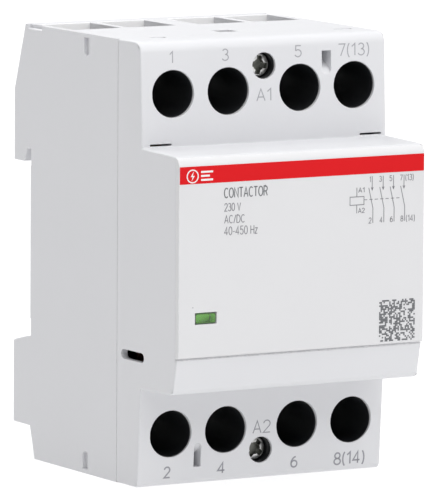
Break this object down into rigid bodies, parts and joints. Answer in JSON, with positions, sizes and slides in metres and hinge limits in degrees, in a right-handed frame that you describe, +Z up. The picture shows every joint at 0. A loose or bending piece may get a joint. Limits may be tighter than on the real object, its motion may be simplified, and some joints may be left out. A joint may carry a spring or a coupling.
{
  "type": "modular din rail contactor",
  "caption": "Boxy white rail-mounted contactor with a raised front nose, round screw wells above and below, a red band and a small position window.",
  "frame": {"origin": "middle of the rail seat face: centred across the width, and level with the middle of a 35 mm rail", "axes": "+X to the right seen from the front, +Y to the back towards the rail, +Z up along the rail's face"},
  "size_m": [0.054, 0.065, 0.085],
  "materials": {
    "white_shell": "fine spark-eroded moulding, light cool grey white",
    "label_plate": "smooth satin moulding with a printed red band",
    "lens": "clear moulded window",
    "black_lining": "black glass-filled moulding",
    "zinc": "zinc plated steel",
    "contact_copper": "bare copper strip with silver alloy tips",
    "spring_steel": "drawn stainless wire",
    "magnet_iron": "stacked electrical sheet, ground pole faces",
    "carrier_plastic": "dark thermoset moulding",
    "winding": "enamelled copper wire",
    "board": "green circuit board",
    "flag": "moulded flag, green and red sectors",
    "clip_plastic": "dark glass-filled moulding"
  },
  "bodies": {
    "housing": {"front_housing": "white_shell", "front_plate": "label_plate", "indicator_lens": "lens", "rear_housing": "white_shell", "terminal_insulator_top": "black_lining", "terminal_insulator_bottom": "black_lining", "fixed_contact_1": "contact_copper", "fixed_contact_2": "contact_copper", "fixed_contact_3": "contact_copper", "fixed_contact_4": "contact_copper", "fixed_contact_5": "contact_copper", "fixed_contact_6": "contact_copper", "fixed_contact_7": "contact_copper", "fixed_contact_8": "contact_copper", "coil_contact_a1": "contact_copper", "coil_contact_a2": "contact_copper", "magnet_core": "magnet_iron", "coil_bobbin": "black_lining", "coil_winding": "winding", "rectifier_board": "board", "return_spring_left": "spring_steel", "return_spring_right": "spring_steel", "clip_spring": "spring_steel"},
    "carrier": {"contact_carrier": "carrier_plastic", "armature": "magnet_iron", "contact_spring_1": "spring_steel", "contact_spring_2": "spring_steel", "contact_spring_3": "spring_steel", "contact_spring_4": "spring_steel"},
    "bridge_1": {"contact_bridge_1": "contact_copper"},
    "bridge_2": {"contact_bridge_2": "contact_copper"},
    "bridge_3": {"contact_bridge_3": "contact_copper"},
    "bridge_4": {"contact_bridge_4": "contact_copper"},
    "flag": {"indicator_flag": "flag"},
    "rail_clip": {"din_rail_clip": "clip_plastic"},
    "screw_1": {"terminal_screw_1": "zinc"},
    "clamp_1": {"cage_clamp_1": "zinc"},
    "screw_2": {"terminal_screw_2": "zinc"},
    "clamp_2": {"cage_clamp_2": "zinc"},
    "screw_3": {"terminal_screw_3": "zinc"},
    "clamp_3": {"cage_clamp_3": "zinc"},
    "screw_4": {"terminal_screw_4": "zinc"},
    "clamp_4": {"cage_clamp_4": "zinc"},
    "screw_5": {"terminal_screw_5": "zinc"},
    "clamp_5": {"cage_clamp_5": "zinc"},
    "screw_6": {"terminal_screw_6": "zinc"},
    "clamp_6": {"cage_clamp_6": "zinc"},
    "screw_7": {"terminal_screw_7": "zinc"},
    "clamp_7": {"cage_clamp_7": "zinc"},
    "screw_8": {"terminal_screw_8": "zinc"},
    "clamp_8": {"cage_clamp_8": "zinc"},
    "coil_screw_a1": {"coil_screw_a1": "zinc"},
    "coil_clamp_a1": {"coil_clamp_a1": "zinc"},
    "coil_screw_a2": {"coil_screw_a2": "zinc"},
    "coil_clamp_a2": {"coil_clamp_a2": "zinc"}
  },
  "joints": [
    {"name": "carrier_slide", "type": "slide", "parent": "housing", "child": "carrier", "axis": [0, 1, 0], "range_m": [0, 0.0032], "stiffness_N_per_m": 400, "springref_m": -0.006, "deforming": ["return_spring_left", "return_spring_right"]},
    {"name": "bridge_1_slide", "type": "slide", "parent": "carrier", "child": "bridge_1", "axis": [0, 1, 0], "range_m": [-0.0008, 0], "deforming": ["contact_spring_1"]},
    {"name": "bridge_2_slide", "type": "slide", "parent": "carrier", "child": "bridge_2", "axis": [0, 1, 0], "range_m": [-0.0008, 0], "deforming": ["contact_spring_2"]},
    {"name": "bridge_3_slide", "type": "slide", "parent": "carrier", "child": "bridge_3", "axis": [0, 1, 0], "range_m": [-0.0008, 0], "deforming": ["contact_spring_3"]},
    {"name": "bridge_4_slide", "type": "slide", "parent": "carrier", "child": "bridge_4", "axis": [0, 1, 0], "range_m": [-0.0008, 0], "deforming": ["contact_spring_4"]},
    {"name": "flag_turn", "type": "hinge", "parent": "housing", "child": "flag", "pos_m": [-0.0209, -0.0524, -0.0085], "axis": [-1, 0, 0], "range_deg": [0, 80]},
    {"name": "rail_clip_slide", "type": "slide", "parent": "housing", "child": "rail_clip", "axis": [0, 0, -1], "range_m": [0, 0.0042], "stiffness_N_per_m": 1200, "springref_m": -0.004, "deforming": ["clip_spring"]},
    {"name": "clamp_1_slide", "type": "slide", "parent": "housing", "child": "clamp_1", "axis": [0, -1, 0], "range_m": [0, 0.0056]},
    {"name": "screw_1_turn", "type": "hinge", "parent": "housing", "child": "screw_1", "pos_m": [-0.02, -0.026, 0.0325], "axis": [0, 1, 0], "range_deg": [0, 2520]},
    {"name": "clamp_2_slide", "type": "slide", "parent": "housing", "child": "clamp_2", "axis": [0, -1, 0], "range_m": [0, 0.0056]},
    {"name": "screw_2_turn", "type": "hinge", "parent": "housing", "child": "screw_2", "pos_m": [-0.02, -0.026, -0.0325], "axis": [0, 1, 0], "range_deg": [0, 2520]},
    {"name": "clamp_3_slide", "type": "slide", "parent": "housing", "child": "clamp_3", "axis": [0, -1, 0], "range_m": [0, 0.0056]},
    {"name": "screw_3_turn", "type": "hinge", "parent": "housing", "child": "screw_3", "pos_m": [-0.0079, -0.026, 0.0325], "axis": [0, 1, 0], "range_deg": [0, 2520]},
    {"name": "clamp_4_slide", "type": "slide", "parent": "housing", "child": "clamp_4", "axis": [0, -1, 0], "range_m": [0, 0.0056]},
    {"name": "screw_4_turn", "type": "hinge", "parent": "housing", "child": "screw_4", "pos_m": [-0.0079, -0.026, -0.0325], "axis": [0, 1, 0], "range_deg": [0, 2520]},
    {"name": "clamp_5_slide", "type": "slide", "parent": "housing", "child": "clamp_5", "axis": [0, -1, 0], "range_m": [0, 0.0056]},
    {"name": "screw_5_turn", "type": "hinge", "parent": "housing", "child": "screw_5", "pos_m": [0.0079, -0.026, 0.0325], "axis": [0, 1, 0], "range_deg": [0, 2520]},
    {"name": "clamp_6_slide", "type": "slide", "parent": "housing", "child": "clamp_6", "axis": [0, -1, 0], "range_m": [0, 0.0056]},
    {"name": "screw_6_turn", "type": "hinge", "parent": "housing", "child": "screw_6", "pos_m": [0.0079, -0.026, -0.0325], "axis": [0, 1, 0], "range_deg": [0, 2520]},
    {"name": "clamp_7_slide", "type": "slide", "parent": "housing", "child": "clamp_7", "axis": [0, -1, 0], "range_m": [0, 0.0056]},
    {"name": "screw_7_turn", "type": "hinge", "parent": "housing", "child": "screw_7", "pos_m": [0.02, -0.026, 0.0325], "axis": [0, 1, 0], "range_deg": [0, 2520]},
    {"name": "clamp_8_slide", "type": "slide", "parent": "housing", "child": "clamp_8", "axis": [0, -1, 0], "range_m": [0, 0.0056]},
    {"name": "screw_8_turn", "type": "hinge", "parent": "housing", "child": "screw_8", "pos_m": [0.02, -0.026, -0.0325], "axis": [0, 1, 0], "range_deg": [0, 2520]},
    {"name": "coil_clamp_a1_slide", "type": "slide", "parent": "housing", "child": "coil_clamp_a1", "axis": [0, -1, 0], "range_m": [0, 0.003]},
    {"name": "coil_screw_a1_turn", "type": "hinge", "parent": "housing", "child": "coil_screw_a1", "pos_m": [0, -0.041, 0.037], "axis": [0, 1, 0], "range_deg": [0, 2160]},
    {"name": "coil_clamp_a2_slide", "type": "slide", "parent": "housing", "child": "coil_clamp_a2", "axis": [0, -1, 0], "range_m": [0, 0.003]},
    {"name": "coil_screw_a2_turn", "type": "hinge", "parent": "housing", "child": "coil_screw_a2", "pos_m": [0, -0.041, -0.037], "axis": [0, 1, 0], "range_deg": [0, 2160]}
  ],
  "couplings": [
    {"joint": "bridge_1_slide", "follows": "carrier_slide", "ratio": -0.25},
    {"joint": "bridge_2_slide", "follows": "carrier_slide", "ratio": -0.25},
    {"joint": "bridge_3_slide", "follows": "carrier_slide", "ratio": -0.25},
    {"joint": "bridge_4_slide", "follows": "carrier_slide", "ratio": -0.25},
    {"joint": "flag_turn", "follows": "carrier_slide", "rad_per_m": 436.33},
    {"joint": "screw_1_turn", "follows": "clamp_1_slide", "rad_per_m": 7854},
    {"joint": "screw_2_turn", "follows": "clamp_2_slide", "rad_per_m": 7854},
    {"joint": "screw_3_turn", "follows": "clamp_3_slide", "rad_per_m": 7854},
    {"joint": "screw_4_turn", "follows": "clamp_4_slide", "rad_per_m": 7854},
    {"joint": "screw_5_turn", "follows": "clamp_5_slide", "rad_per_m": 7854},
    {"joint": "screw_6_turn", "follows": "clamp_6_slide", "rad_per_m": 7854},
    {"joint": "screw_7_turn", "follows": "clamp_7_slide", "rad_per_m": 7854},
    {"joint": "screw_8_turn", "follows": "clamp_8_slide", "rad_per_m": 7854},
    {"joint": "coil_screw_a1_turn", "follows": "coil_clamp_a1_slide", "rad_per_m": 12566},
    {"joint": "coil_screw_a2_turn", "follows": "coil_clamp_a2_slide", "rad_per_m": 12566}
  ]
}
